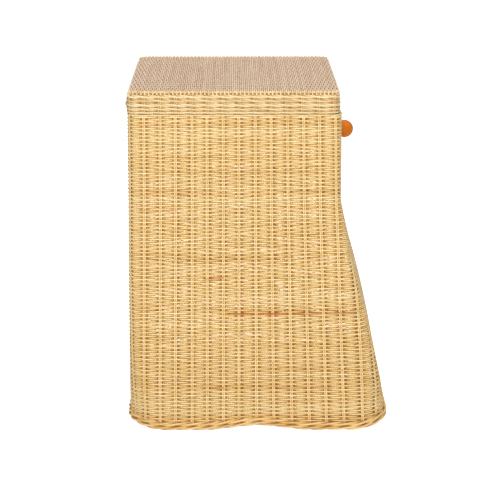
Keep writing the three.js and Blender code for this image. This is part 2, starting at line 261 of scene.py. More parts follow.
def make_strand_tree():
    """Bends the guide lines, sweeps a round section along them and stores the grain."""
    tree = bpy.data.node_groups.new("strands over stakes", "GeometryNodeTree")
    face = tree.interface
    face.new_socket("Geometry", in_out="INPUT", socket_type="NodeSocketGeometry")
    for name in ("Bow", "Rise", "Strand radius"):
        face.new_socket(name, in_out="INPUT", socket_type="NodeSocketFloat")
    face.new_socket("Sides", in_out="INPUT", socket_type="NodeSocketInt")
    face.new_socket("Material", in_out="INPUT", socket_type="NodeSocketMaterial")
    face.new_socket("Geometry", in_out="OUTPUT", socket_type="NodeSocketGeometry")
    start = tree.nodes.new("NodeGroupInput").outputs
    vector = {"data_type": "FLOAT_VECTOR"}
    number = {"data_type": "FLOAT"}

    turn = add_node(tree, "GeometryNodeInputNamedAttribute", number, Name="turn").outputs[0]
    shift = None
    for way, size, wave in (("outward", "Bow", "COSINE"), ("up", "Rise", "SINE")):
        direction = add_node(tree, "GeometryNodeInputNamedAttribute", vector, Name=way).outputs[0]
        swing = add_node(tree, "ShaderNodeMath", {"operation": wave}, in_0=turn).outputs[0]
        length = add_node(tree, "ShaderNodeMath", {"operation": "MULTIPLY"}, in_0=swing, in_1=start[size])
        part = add_node(
            tree, "ShaderNodeVectorMath", {"operation": "SCALE"}, in_0=direction, Scale=length.outputs[0]
        )
        if shift is not None:
            part = add_node(
                tree, "ShaderNodeVectorMath", {"operation": "ADD"}, in_0=shift, in_1=part.outputs[0]
            )
        shift = part.outputs[0]
    bent = add_node(tree, "GeometryNodeSetPosition", Geometry=start["Geometry"], Offset=shift)
    line = add_node(tree, "GeometryNodeMeshToCurve", Mesh=bent.outputs[0])
    thick = add_node(tree, "GeometryNodeInputNamedAttribute", number, Name="thick").outputs[0]
    sized = add_node(tree, "GeometryNodeSetCurveRadius", Curve=line.outputs[0], Radius=thick)

    circle = add_node(
        tree, "GeometryNodeCurvePrimitiveCircle", Resolution=start["Sides"], Radius=start["Strand radius"]
    )
    around = add_node(
        tree, "GeometryNodeStoreNamedAttribute", dict(vector, domain="POINT"), Geometry=circle.outputs[0],
        Name="section", Value=add_node(tree, "GeometryNodeInputPosition").outputs[0],
    )
    swept = add_node(
        tree, "GeometryNodeCurveToMesh",
        Curve=sized.outputs[0], Profile_Curve=around.outputs[0], Fill_Caps=True,
    )

    section = add_node(tree, "GeometryNodeInputNamedAttribute", vector, Name="section").outputs[0]
    in_mm = add_node(tree, "ShaderNodeVectorMath", {"operation": "SCALE"}, in_0=section, Scale=1 / MM)
    split = add_node(tree, "ShaderNodeSeparateXYZ", Vector=in_mm.outputs[0])
    along = add_node(tree, "GeometryNodeInputNamedAttribute", number, Name="along").outputs[0]
    strand = add_node(tree, "GeometryNodeInputNamedAttribute", number, Name="strand").outputs[0]
    own = add_node(
        tree, "ShaderNodeMath", {"operation": "MULTIPLY_ADD"},
        in_0=strand, in_1=STRANDS_APART, in_2=split.outputs["Y"],
    ).outputs[0]
    grain = add_node(tree, "ShaderNodeCombineXYZ", X=along, Y=split.outputs["X"], Z=own).outputs[0]
    marked = add_node(
        tree, "GeometryNodeStoreNamedAttribute", dict(vector, domain="POINT"), Geometry=swept.outputs[0],
        Name="grain", Value=grain,
    )
    smooth = add_node(tree, "GeometryNodeSetShadeSmooth", Geometry=marked.outputs[0])
    real = add_node(tree, "GeometryNodeRealizeInstances", Geometry=smooth.outputs[0])
    dressed = add_node(tree, "GeometryNodeSetMaterial", Geometry=real.outputs[0], Material=start["Material"])
    end = tree.nodes.new("NodeGroupOutput")
    tree.links.new(dressed.outputs[0], end.inputs[0])
    return tree


strand_tree = make_strand_tree()
inputs = [item for item in strand_tree.interface.items_tree if item.in_out == "INPUT"]
socket_of = {item.name: item.identifier for item in inputs}
print("strand tree:", len(strand_tree.nodes), "nodes")

# %% [markdown]
# ## From guide lines to a piece
# A guide line is a dictionary of arrays in millimetres. The next function joins many guide lines in one
# mesh of edges, stores the values that the tree reads, runs the tree, and keeps the result as a plain mesh.
# The modifier and the guide are removed, so the finished piece has no live modifiers and sits at the
# origin.


# %% Functions that make a piece of strands
GRAIN_START = 500
GRAIN_LANES = 60


def running_length(points):
    """How far along a line of points each of them is."""
    return np.concatenate([[0.0], np.cumsum(np.linalg.norm(np.diff(points, axis=0), axis=1))])


def guide(points, outward=(0, 0, 0), up=(0, 0, 0), turn=0.0, thick=1.0, tone=0.5, stain=0.0, closed=False):
    """One guide line. A value may be one for the whole line or one per point. Its grain starts anywhere."""
    points = np.asarray(points, float)
    n = len(points)
    line = {"points": points, "closed": closed}
    for key, value in (("outward", outward), ("up", up)):
        line[key] = np.broadcast_to(np.asarray(value, float), (n, 3))
    for key, value in (("turn", turn), ("thick", thick), ("tone", tone), ("stain", stain)):
        line[key] = np.broadcast_to(np.asarray(value, float), n)
    line["along"] = running_length(points) + rng.uniform(0, GRAIN_START)
    line["strand"] = np.full(n, rng.uniform(0, GRAIN_LANES))
    return line


def strand_piece(name, guides, body, finish, radius, bow=0.0, rise=0.0, sides=6, stands_for=()):
    """Makes guide lines into one mesh piece that rides on a body. Sizes are in millimetres."""
    mesh = bpy.data.meshes.new(name + " guide")
    edges = []
    first = 0
    for line in guides:
        n = len(line["points"])
        edges += [(first + i, first + i + 1) for i in range(n - 1)]
        if line["closed"]:
            edges.append((first + n - 1, first))
        first += n
    mesh.from_pydata(np.concatenate([line["points"] for line in guides]) * MM, edges, [])
    for key in ("outward", "up"):
        values = np.concatenate([line[key] for line in guides]).astype(np.float32)
        mesh.attributes.new(key, "FLOAT_VECTOR", "POINT").data.foreach_set("vector", values.ravel())
    for key in ("turn", "thick", "tone", "stain", "along", "strand"):
        values = np.concatenate([line[key] for line in guides]).astype(np.float32)
        mesh.attributes.new(key, "FLOAT", "POINT").data.foreach_set("value", values)
    holder = bpy.data.objects.new(name + " guide", mesh)
    scene.collection.objects.link(holder)
    modifier = holder.modifiers.new("strands", "NODES")
    modifier.node_group = strand_tree
    modifier[socket_of["Bow"]] = bow * MM
    modifier[socket_of["Rise"]] = rise * MM
    modifier[socket_of["Strand radius"]] = radius * MM
    modifier[socket_of["Sides"]] = sides
    modifier[socket_of["Material"]] = finish
    holder.update_tag()
    depsgraph = bpy.context.evaluated_depsgraph_get()
    made = bpy.data.meshes.new_from_object(holder.evaluated_get(depsgraph))
    bpy.data.objects.remove(holder)
    made.name = name
    for key in ("outward", "up", "turn", "thick", "along", "strand", "section"):
        if key in made.attributes:
            made.attributes.remove(made.attributes[key])
    piece = bpy.data.objects.new(name, made)
    scene.collection.objects.link(piece)
    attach(piece, body)
    if stands_for:
        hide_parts(*stands_for)
    made.calc_loop_triangles()
    print(name, len(guides), "strands,", len(made.loop_triangles), "triangles")
    return piece


def drift(n, reach, low, high):
    """A smooth random wander of n values between low and high, with bends about every `reach` values."""
    knots = rng.uniform(low, high, max(2, n // reach + 2))
    return np.interp(np.linspace(0, len(knots) - 1, n), np.arange(len(knots)), knots)


# %% [markdown]
# ## The hamper's outline
# Seen from above, every level of the wall is a rounded rectangle. The back is nearly upright, the front
# slopes from the shoulder down to the foot, the corners open from tight to well rounded, and the sides
# swell a little at mid height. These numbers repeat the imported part's own, in millimetres.

# %% Outline at a height
WALL = 9.2
FLARE_START, FOOT_Z = 410, 15
WALL_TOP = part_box("body_weave")[1][2] / MM
border_low, border_high = (np.array(corner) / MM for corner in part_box("foot_border"))
lid_low, lid_high = (np.array(corner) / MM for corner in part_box("lid_rim_weave"))
panel_low, panel_high = (np.array(corner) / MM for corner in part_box("lid_weave"))
BORDER_PROUD = 4
BACK_BASE = border_low[0] + BORDER_PROUD
FRONT_BASE = border_high[0] - BORDER_PROUD
BACK_TOP, FRONT_TOP = -225.25, 144.25
FRONT_PROFILE = [(FOOT_Z, FRONT_BASE), (70, 220.8), (160, 202), (303, 164.5), (FLARE_START, FRONT_TOP)]
RADIUS_PROFILE = [(FOOT_Z, 65), (38, 62), (80, 46), (150, 32), (230, 24), (300, 18)]
HALF_TOP, HALF_BASE = 239.0, 242.5
SWELL, SWELL_START, SWELL_HEIGHT = 6, 60, 380
ANCHOR_X = -33
SIDE_STEPS, CORNER_STEPS = 32, 14
QUARTER = SIDE_STEPS + CORNER_STEPS


def outline(back, front, half, radius, inset, swell=0.0):
    """Closed outline, counter-clockwise from the back end of the -Y side: points, normals and lengths."""
    x0, x1, w = back + inset, front - inset, half - inset
    r = max(radius - inset, 2.0)
    points, normals = [], []
    corners = [((x1 - r, -w + r), -90), ((x1 - r, w - r), 0), ((x0 + r, w - r), 90), ((x0 + r, -w + r), 180)]
    sides = [
        ((x0 + r, -w), (x1 - r, -w), (0, -1)),
        ((x1, -w + r), (x1, w - r), (1, 0)),
        ((x1 - r, w), (x0 + r, w), (0, 1)),
        ((x0, w - r), (x0, -w + r), (-1, 0)),
    ]
    for (start, end, normal), (centre, angle) in zip(sides, corners):
        for u in np.linspace(-1, 1, SIDE_STEPS, endpoint=False):
            t = (u + 1) / 2
            out = swell * math.cos(math.pi / 2 * u) ** 2
            points.append([start[k] + (end[k] - start[k]) * t + normal[k] * out for k in (0, 1)])
            normals.append(normal)
        for a in np.radians(np.linspace(angle, angle + 90, CORNER_STEPS, endpoint=False)):
            points.append([centre[0] + r * math.cos(a), centre[1] + r * math.sin(a)])
            normals.append((math.cos(a), math.sin(a)))
    points, normals = np.array(points), np.array(normals, float)
    return points, normals, running_length(np.vstack([points, points[:1]]))


def anchor_length(shape):
    """Running length at which an outline's -Y side passes the anchor."""
    points, _, length = shape
    return np.interp(ANCHOR_X, points[:SIDE_STEPS, 0], length[:SIDE_STEPS])


def along_outline(shape, s):
    """Points and normals of an outline at running lengths s from the anchor on the -Y side."""
    points, normals, length = shape
    where = (np.asarray(s) + anchor_length(shape)) % length[-1]
    ring = [np.vstack([array, array[:1]]) for array in (points, normals)]
    at, out = (np.stack([np.interp(where, length, array[:, k]) for k in (0, 1)], axis=1) for array in ring)
    return at, out / np.linalg.norm(out, axis=1, keepdims=True)


def wall_sizes(z):
    """Back, front, half width and corner radius of the wall's outer face at a height."""
    back = np.interp(z, [FOOT_Z, FLARE_START], [BACK_BASE, BACK_TOP])
    half = np.interp(z, [FOOT_Z, FLARE_START], [HALF_BASE, HALF_TOP])
    return back, np.interp(z, *zip(*FRONT_PROFILE)), half, np.interp(z, *zip(*RADIUS_PROFILE))


def wall_outline(z, inset):
    """The wall's outline at a height, moved in by an inset. The sides swell between 60 mm and 440 mm."""
    swell = SWELL * math.sin(math.pi * min(1, max(0, (z - SWELL_START) / SWELL_HEIGHT))) ** 2
    return outline(*wall_sizes(z), inset, swell)


print("round the foot:", round(wall_outline(FOOT_Z, 0)[2][-1]), "mm")
print("round the top:", round(wall_outline(500, 0)[2][-1]), "mm")

# %% [markdown]
# ## Stakes
# Sixty pairs of thin stakes stand round the hamper, about 28 mm apart under the lid. They fan out towards
# the foot, most of all on the sloping front. The two rods of a pair nearly touch and show between the
# weavers as one pale upright strip. A table of stake number against running length gives each pair its
# place at every height: stake -15 is in the middle of the back, stake 15 in the middle of the front.

# %% Where the stakes stand
STAKES = 60
BACK_STAKE, FRONT_STAKE = -15, 15
SIDE_STAKES = 6
STAKE_R, HALF_PAIR = 1.42, 1.5
STAKE_INSET = WALL / 2 - 1.7
GAPS_FROM, RIGHT_GAPS, LEFT_GAPS = (FOOT_Z, FLARE_START, 560), (31.0, 28.2, 27.7), (28.0, 27.2, 27.1)


def stake_lengths(shape, z):
    """A table of stake numbers, from the middle of the back right round, and their running lengths."""
    length = shape[2]
    anchor = anchor_length(shape)
    middle_front = length[QUARTER + SIDE_STEPS // 2] - anchor
    middle_back = length[3 * QUARTER + SIDE_STEPS // 2] - anchor - length[-1]
    right = np.interp(z, GAPS_FROM, RIGHT_GAPS)
    left = np.interp(z, GAPS_FROM, LEFT_GAPS)
    numbers = np.array([BACK_STAKE, -SIDE_STAKES, 0, SIDE_STAKES, FRONT_STAKE])
    lengths = np.array([middle_back, -SIDE_STAKES * left, 0, SIDE_STAKES * right, middle_front])
    mirrored = 2 * FRONT_STAKE - numbers[::-1][1:]
    back_side = 2 * middle_front - lengths[::-1][1:]
    return np.concatenate([numbers, mirrored]), np.concatenate([lengths, back_side])


def on_wall(z, number, inset):
    """Points and normals on the wall at height z for stake numbers, which may be fractions."""
    shape = wall_outline(z, inset)
    s = np.interp(number, *stake_lengths(shape, z))
    return along_outline(shape, s)


stake_shift = rng.uniform(-0.035, 0.035, STAKES)
stake_guides = []
heights = np.concatenate([np.arange(9, 120, 9), np.arange(120, 430, 18), [430, 450, 480, 510, 540, 560.5]])
for number in range(STAKES):
    spot = number if number < BACK_STAKE + STAKES else number - STAKES
    for side in (-1, 1):
        place = []
        for z in heights:
            centre, normal = on_wall(z, [spot + stake_shift[number]], STAKE_INSET)
            across = np.array([-normal[0][1], normal[0][0]])
            place.append([*(centre[0] + across * side * HALF_PAIR), z])
        stake_guides.append(guide(place, tone=drift(len(place), 6, 0.4, 0.66)))
strand_piece("wall_stakes", stake_guides, "body", core_finish, radius=STAKE_R, sides=6)

# %% [markdown]
# ## Woven wall
# About 160 rows of 3.2 mm core go round the hamper, closer together under the lid than at the foot. Each
# row passes in front of one pair of stakes and behind the next, and the row above does the opposite. Every
# row is a closed guide line with ten points from pair to pair. A weaver stays near the front for most of
# the way and dips sharply behind a pair, which is what leaves two small dark holes beside each pair. Where
# it dips it also hangs a little lower and is a little thicker, and more so on the sloping front, so that
# only specks of light come through between two rows. There its colour is also made darker, as painted
# shade in the recess behind the pair. The weavers wander a little in height and colour, as hand-pulled ones
# do, and a few have long brown streaks. Five pieces share the rows, so that no single mesh holds them all.

# %% Weave the wall
WEAVER_R = 1.6
BOW = WALL / 2 - WEAVER_R
STEPS = 10
DIP_SHARPNESS = 10
DIP_TURN = 1.85
DROP, SLOPE_DROP = 1.1, 5.8
SPAN, LOWEST_ROW = (FOOT_Z, 562), 16.4
PITCH_AT, THICK_AT = (3.54, 3.22), (1.1, 1.01)
CLOSING = 12  # the last points of a row, which lead back to its first
row_heights = []
z = WALL_TOP - 1.7
while z > LOWEST_ROW:
    row_heights.append(z)
    z -= np.interp(z, SPAN, PITCH_AT)
row_heights = row_heights[::-1]
numbers = np.arange(STAKES * STEPS) / STEPS + BACK_STAKE


def dip(count):
    """How far a weaver has dipped: 0 in front of even counts, 1 behind odd ones, with a sharp change."""
    return np.abs(np.sin(math.pi / 2 * count)) ** DIP_SHARPNESS


def front_x(z):
    """How far forward the front stands at a height."""
    return np.interp(z, *zip(*FRONT_PROFILE))


STREAKED_ROWS = 22
streaked = {int(r) for r in rng.choice(len(row_heights), STREAKED_ROWS, replace=False)}
LONG_STREAKS = [(211, -54, 168, 0.85), (275, -95, -60, 0.5), (77, 30, 130, 0.4), (77, -80, -55, 0.5)]
WALL_PIECES = 5
row_guides = []
for row, z in enumerate(row_heights):
    n = len(numbers)
    place, normal = on_wall(z, numbers, WALL / 2)
    wander = drift(n, 20, -0.22, 0.22)
    wander[-CLOSING:] = np.linspace(wander[-CLOSING], wander[0], CLOSING)
    behind = dip(numbers + row)
    slope = (front_x(z - 6) - front_x(z + 6)) / 12
    lean = slope * np.clip(normal[:, 0], 0, 1)
    # Where the weaver dips behind a pair its tone drops by half: painted shade in the recess.
    tone = drift(n, 40, -0.12, 0.12) + rng.uniform(0.39, 0.61) - 0.5 * behind
    stain = np.zeros(n)
    if row in streaked:
        begin = rng.integers(0, n - 60)
        stain[begin : begin + rng.integers(12, 56)] = rng.uniform(0.2, 0.6)
    for height, start, stop, strength in LONG_STREAKS:
        if abs(z - height) < 1.75:
            stain[(place[:, 1] < 0) & (place[:, 0] > start) & (place[:, 0] < stop)] = strength
    thick = rng.uniform(0.98, 1.03) * np.interp(z, SPAN, THICK_AT) * (1 + 0.26 * behind + 0.3 * lean)
    row_guides.append(
        guide(
            np.column_stack([place, z + wander - (DROP + SLOPE_DROP * lean) * behind]),
            outward=np.column_stack([normal, np.zeros(n)]),
            turn=np.arccos(1 - DIP_TURN * behind),
            tone=tone,
            stain=stain,
            thick=thick,
            closed=True,
        )
    )
print(len(row_guides), "rows of weaving")
share = math.ceil(len(row_guides) / WALL_PIECES)
for k in range(WALL_PIECES):
    part = row_guides[k * share : (k + 1) * share]
    strand_piece(
        f"wall_weave_{k + 1}", part, "body", core_finish, radius=WEAVER_R, bow=BOW, sides=6,
        stands_for=("body_weave",) if k == 0 else (),
    )

# %% [markdown]
# ## Twisted rows
# The foot and the lid rim are finished with waling: three strands that pass in front of two stakes and
# behind one, each starting a stake later than the last. On a guide line that is a turn of a third for each
# stake. With two strands, as at the mouth, it is a turn of a half.


# %% Guide lines of a twisted row
def twisted_row(place_of, steps, first=BACK_STAKE, strands=3, hand=1, tones=(0.45, 0.65), stain=0.0):
    """place_of(numbers) gives points and outward directions at stake numbers, once round from the first."""
    numbers = np.arange(STAKES * steps) / steps + first
    points, outward = place_of(numbers)
    lines = []
    for k in range(strands):
        n = len(numbers)
        turn = hand * 2 * math.pi * (numbers - k) / strands
        tone = drift(n, 30, -0.1, 0.1) + rng.uniform(*tones)
        lines.append(
            guide(
                points, outward=outward, up=(0, 0, 1), turn=turn, tone=tone, closed=True,
                stain=stain * drift(n, 12, -1.0, 1.0).clip(0, 1),
            )
        )
    return lines


def paint_shade_behind(lines, depth, reach):
    """Lowers a strand's tone where it turns in behind the others: painted shade."""
    for line in lines:
        line["tone"] = line["tone"] - depth * np.clip(reach - np.cos(line["turn"]), 0, 1)


# %% [markdown]
# ## Foot border
# The border touches the floor in two places on the left and the right side. It rises between them, and
# again round each corner to the front and the back. Two twisted rows of thicker core run on top of each
# other, and three rods behind them close the gaps between strands. The rods are given the darkest tone, as
# painted shade in those gaps, and each strand's tone is lowered where it turns in behind the others, as
# painted shade too.

# %% Foot border
ARCH_H, ARCH_HALF, ARCH_POWER, END_LIFT = 9.5, 83, 1.15, 11
BORDER_R, CORE_R = 1.95, 3.0
foot_shape = wall_outline(FOOT_Z, 0)


def foot_lift():
    """How far the border is off the floor at each point of the foot's outline."""
    lift = []
    straight = (FRONT_BASE - BACK_BASE) / 2 - RADIUS_PROFILE[0][1]
    for at_end in (False, True, False, True):
        for u in np.linspace(-1, 1, SIDE_STEPS, endpoint=False):
            arch = ARCH_H * (1 - min(1, abs(u) * straight / ARCH_HALF) ** ARCH_POWER)
            lift.append(END_LIFT if at_end else arch)
        for share in np.linspace(0, 1, CORNER_STEPS, endpoint=False):
            t = 1 - share if at_end else share
            lift.append(END_LIFT * t * t * (3 - 2 * t))
    return np.array(lift)


LIFT = foot_lift()


def border_place(height, inset):
    """Gives the function that places the border's guide line at a height above its lower edge."""

    def place_of(numbers):
        shape = wall_outline(FOOT_Z, inset)
        s = np.interp(numbers, *stake_lengths(shape, FOOT_Z))
        points, normals = along_outline(shape, s)
        foot_s = np.interp(numbers, *stake_lengths(foot_shape, FOOT_Z)) + anchor_length(foot_shape)
        lift = np.interp(foot_s % foot_shape[2][-1], foot_shape[2], np.append(LIFT, LIFT[0]))
        return np.column_stack([points, lift + height]), np.column_stack([normals, np.zeros(len(s))])

    return place_of


border_guides = []
for height in (4.15, 11.3):
    border_guides += twisted_row(border_place(height, 1.5), 8, stain=0.5)
# Painted shade: the border strands are darker where they turn in behind the others.
paint_shade_behind(border_guides, 0.5, 0.5)
strand_piece(
    "foot_border_strands", border_guides, "body", border_finish,
    radius=BORDER_R, bow=3.5, rise=2.1, sides=8, stands_for=("foot_border",),
)
# The rods get the darkest tone: painted shade in the gaps between the border strands.
core_guides = []
for height, inset in ((4.6, 3.5), (11, 3.5), (16, 5.0)):
    core_guides += twisted_row(border_place(height, inset), 4, strands=1, tones=(0.02, 0.05))
strand_piece("foot_border_core", core_guides, "body", border_finish, radius=CORE_R, sides=8)

# %% [markdown]
# ## Mouth of the wall
# One pair of strands, twisted round each other, binds the top of the wall. It only shows when the lid is
# open.


# %% Binding round the mouth
MOUTH_Z, BINDING_Z = 558, 560.4


def mouth_place(numbers):
    """Places the binding on the last row of the wall."""
    points, normals = on_wall(MOUTH_Z, numbers, WALL / 2)
    flat = np.zeros(len(numbers))
    return np.column_stack([points, flat + BINDING_Z]), np.column_stack([normals, flat])


strand_piece(
    "mouth_binding", twisted_row(mouth_place, 6, strands=2), "body", core_finish,
    radius=1.5, bow=3.0, rise=0.5, sides=6,
)

# %% [markdown]
# ## Base panel
# The floor of the hamper is the same plain weave laid flat: weavers run across the width over pairs of rods
# that run from back to front.


# %% Flat plain weave for the base
def flat_weave(xs, half_at, pitch, first_y, z, steps, tones):
    """Guide lines of weavers along Y. half_at(x) gives how far each one reaches to either side."""
    lines = []
    for k, x in enumerate(xs):
        reach = half_at(x)
        n = max(8, int(round(2 * reach / pitch * steps)))
        y = np.linspace(-reach, reach, n)
        number = (y - first_y) / pitch
        lines.append(
            guide(
                np.column_stack([x + drift(n, 20, -0.12, 0.12), y, np.full(n, z)]),
                outward=(0, 0, 1),
                turn=math.pi * (number + k),
                tone=drift(n, 30, -0.08, 0.08) + rng.uniform(*tones),
                thick=rng.uniform(0.95, 1.02),
            )
        )
    return lines


def corner_cut(room, radius):
    """How much a round corner takes off a line that runs at a distance `room` from the next side."""
    into = max(0, radius - room)
    return radius - math.sqrt(max(0, radius**2 - into**2))


def flat_reach(back, front, half, radius):
    """Gives the function for the half width of a rounded rectangle at x."""
    return lambda x: half - corner_cut(min(x - back, front - x), radius)


base_low, base_high = (np.array(corner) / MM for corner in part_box("base_weave"))
base_z = (base_low[2] + base_high[2]) / 2
BASE_CORNER, BASE_ROW, BASE_PAIRS = 52, 3.5, 16
BASE_PITCH = 2 * base_high[1] / (BASE_PAIRS + 1)
ROD_SIDE = 1.6
base_reach = flat_reach(base_low[0], base_high[0], base_high[1], BASE_CORNER)
base_xs = np.arange(base_low[0] + 2, base_high[0] - 1.5, BASE_ROW)
base_guides = flat_weave(base_xs, base_reach, BASE_PITCH, -base_high[1], base_z, 6, (0.4, 0.6))
strand_piece(
    "base_weavers", base_guides, "body", core_finish, radius=1.5, bow=1.75, sides=5,
    stands_for=("base_weave",),
)
rods = []
for k in range(1, BASE_PAIRS + 1):
    y = -base_high[1] + k * BASE_PITCH
    trim = corner_cut(base_high[1] - abs(y), BASE_CORNER)
    x = np.linspace(base_low[0] + trim + 1, base_high[0] - trim - 1, 12)
    for side in (-ROD_SIDE, ROD_SIDE):
        rods.append(guide(np.column_stack([x, np.full(12, y + side), np.full(12, base_z)]), tone=0.45))
strand_piece("base_stakes", rods, "body", core_finish, radius=0.9, sides=6)

# %% [markdown]
# ## Lid panel
# On the lid the weavers run from the near side to the far side, about 3.4 mm apart, over pairs of rods from
# back to front. At each long edge the weavers turn down: every second end is long and reaches down inside
# the rim, the others are short, so a line of small upright ends runs along the edge.

# %% Lid panel
ROD_POINTS = 14
LID_RADIUS = 1.56
LID_BOW = 2.5
LID_CORNER, LID_ROW = 20, 3.41
LID_GAPS, LID_PITCH = 17, 27.2
EDGE_Y = LID_GAPS * LID_PITCH / 2
LONG_END = [(5.6, 0.6), (3.8, 1.3), (2.5, 2.9), (1.9, 6.2)]
SHORT_END = [(5.6, 1.2), (4.6, 1.8), (3.9, 3.0)]
lid_z = panel_high[2] - LID_RADIUS - LID_BOW
end_z = panel_high[2] - 1.7
lid_reach = flat_reach(panel_low[0], panel_high[0], panel_high[1], LID_CORNER)
lid_xs = np.arange(panel_low[0] + 2.2, panel_high[0] - 1.8, LID_ROW)
lid_guides, turn_guides = [], []
for k, x in enumerate(lid_xs):
    reach = lid_reach(x)
    shift = reach - panel_high[1]
    n = int(2 * (EDGE_Y + shift) / LID_PITCH * 8)
    y = np.linspace(-EDGE_Y - shift, EDGE_Y + shift, n)
    swing = np.cos(math.pi * ((y + EDGE_Y) / LID_PITCH + k))
    path = np.column_stack([np.full(n, x) + drift(n, 20, -0.1, 0.1), y, lid_z + LID_BOW * swing])
    lid_guides.append(
        guide(path, tone=drift(n, 30, -0.08, 0.08) + rng.uniform(0.4, 0.6), thick=rng.uniform(0.95, 1.02))
    )
    for side, is_long in ((-1, k % 2 == 0), (1, k % 2 == 1)):
        bend = LONG_END if is_long else SHORT_END
        points = [[x, side * (reach - short_of), end_z - down] for short_of, down in bend]
        turn_guides.append(guide(points, tone=rng.uniform(0.3, 0.6)))
strand_piece(
    "lid_weavers", lid_guides, "lid", lid_finish, radius=LID_RADIUS, sides=6,
    stands_for=("lid_weave",),
)
strand_piece("lid_turned_ends", turn_guides, "lid", rim_finish, radius=1.85, sides=8)
rods = []
for k in range(LID_GAPS + 1):
    y = -EDGE_Y + k * LID_PITCH
    trim = corner_cut(panel_high[1] - abs(y), LID_CORNER)
    for side in (-ROD_SIDE, ROD_SIDE):
        x = np.linspace(panel_low[0] + trim + 2, panel_high[0] - trim - 2, ROD_POINTS)
        line = np.column_stack([x, np.full(ROD_POINTS, y + side), np.full(ROD_POINTS, lid_z)])
        ends = np.array([[x[0] - 1.3, y + side, lid_z - 1.5], [x[0] - 1.5, y + side, lid_z - 4]])
        other = np.array([[x[-1] + 1.3, y + side, lid_z - 1.5], [x[-1] + 1.5, y + side, lid_z - 4]])
        path = np.vstack([ends[::-1], line, other])
        rods.append(guide(path, tone=drift(len(path), 5, 0.4, 0.6)))
strand_piece("lid_stakes", rods, "lid", lid_finish, radius=1.1, sides=6)

# %% [markdown]
# ## Lid rim
# Five rows of waling make the thick rim. The lowest row is the flattest, and the rim bulges a little at mid
# height. Short upright stakes stand inside it.

# %% Lid rim
RIM_R = 1.85
RIM_BOW = 3.0
RIM_STAGGER = 0.37


def rim_place(z, inset):
    """Gives the function that places a row of the rim at a height."""

    def place_of(numbers):
        shape = outline(lid_low[0], lid_high[0], lid_high[1], LID_CORNER, inset)
        length = shape[2][-1]
        points, normals = along_outline(shape, numbers / STAKES * length)
        flat = np.zeros(len(numbers))
        return np.column_stack([points, flat + z]), np.column_stack([normals, flat])

    return place_of


RIM_ROWS = [(565.3, 0.7, 0.8), (571.4, 1.6, 0.3), (578.3, 1.95, 0.0), (585.6, 1.95, 0.2), (592.4, 1.8, 0.9)]
rim_guides = []
for k, (z, rise, inset) in enumerate(RIM_ROWS):
    place_of = rim_place(z, inset + RIM_R + RIM_BOW)
    row = twisted_row(place_of, 7, first=BACK_STAKE + RIM_STAGGER * k, hand=-1, tones=(0.35, 0.75))
    for line in row:
        line["up"] = line["up"] * rise
    rim_guides += row
# Painted shade: the rim strands are darker where they turn in behind the others.
paint_shade_behind(rim_guides, 0.4, 0.55)
strand_piece(
    "lid_rim_strands", rim_guides, "lid", rim_finish,
    radius=RIM_R, bow=RIM_BOW, rise=1.0, sides=8, stands_for=("lid_rim_weave",),
)
rods = []
for number in range(STAKES):
    for side in (-0.06, 0.06):
        xy = rim_place(0, 4.7)(np.array([number + side]))[0][0][:2]
        rods.append(guide([[*xy, 564], [*xy, 575], [*xy, 585], [*xy, 595.5]], tone=0.5))
strand_piece("lid_rim_stakes", rods, "lid", core_finish, radius=1.2, sides=6)

# %% [markdown]
# ## Poles of the frame
# Hoops, bars and corner posts are rattan pole with its skin on: darker and smoother than the core, a little
# thicker at each node of the stem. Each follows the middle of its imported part.


# %% Frame poles
NODE_GAP = 190
POLE_STEP = 4.0
POST_R, THIN_R = 4.9, 4.4


def pole(points, closed=False):
    """A pole's guide line, thicker and darker at a node about every 190 mm."""
    points = np.asarray(points, float)
    near = np.abs((running_length(points) + rng.uniform(0, NODE_GAP)) % NODE_GAP - NODE_GAP / 2)
    ring = np.exp(-((near / 3.0) ** 2))
    tone = drift(len(points), 20, 0.4, 0.6) - 0.25 * ring
    return guide(points, thick=1 + 0.05 * ring, tone=tone, closed=closed)


def hoop_points(shape, z):
    """Points round an outline at a height."""
    points, _ = along_outline(shape, np.arange(0, shape[2][-1] - POLE_STEP / 2, POLE_STEP))
    return np.column_stack([points, np.full(len(points), z)])


def bar_points(node):
    """Points along the middle of a packed bar."""
    low, high = (np.array(corner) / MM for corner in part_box(node))
    middle = (low + high) / 2
    y = np.arange(low[1], high[1], POLE_STEP)
    return np.column_stack([np.full(len(y), middle[0]), y, np.full(len(y), middle[2])])


def post_points(front, side):
    """The inside of a corner, from the base panel up to the top hoop."""
    points = []
    for z in np.concatenate([np.arange(28.8, 300, 5.0), np.arange(300, 552, 6.0)]):
        inset = 17.8 if z < 60 else 16.4
        back_x, front_x, half, radius = wall_sizes(z)
        corner = inset + max(radius - inset, 3) * (1 - math.sqrt(0.5))
        points.append([front_x - corner if front else back_x + corner, side * (half - corner), z])
    return points


for name in ("post_front_right", "post_front_left", "post_back_right", "post_back_left"):
    side = 1 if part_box(name)[0][1] > 0 else -1
    post = pole(post_points("front" in name, side))
    strand_piece(
        name + "_pole", [post], "body", pole_finish, radius=POST_R, sides=16,
        stands_for=(name,),
    )

for name, body, shape, radius in (
    ("base_hoop", "body", wall_outline(FOOT_Z, 18.5), POST_R),
    ("top_hoop", "body", wall_outline(500, 14.2), THIN_R),
    ("lid_hoop", "lid", outline(lid_low[0], lid_high[0], lid_high[1], LID_CORNER, 15), POST_R),
):
    middle = sum(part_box(name)[k][2] for k in (0, 1)) / 2 / MM
    ring = pole(hoop_points(shape, middle), closed=True)
    strand_piece(
        name + "_pole", [ring], body, pole_finish, radius=radius, sides=16,
        stands_for=(name,),
    )

for body, prefix in (("body", "base_bar"), ("lid", "lid_bar")):
    names = [f"{prefix}_{k}" for k in (1, 2, 3)]
    bars = [pole(bar_points(name)) for name in names]
    strand_piece(
        prefix + "_poles", bars, body, pole_finish, radius=THIN_R, sides=16, stands_for=names
    )

# %% [markdown]
# ## Hinge rings
# Two loops of cane bind the lid to the back wall. Each is wound from three fine strands round a circle on
# the hinge line, so they stay where they are while the lid turns about them.

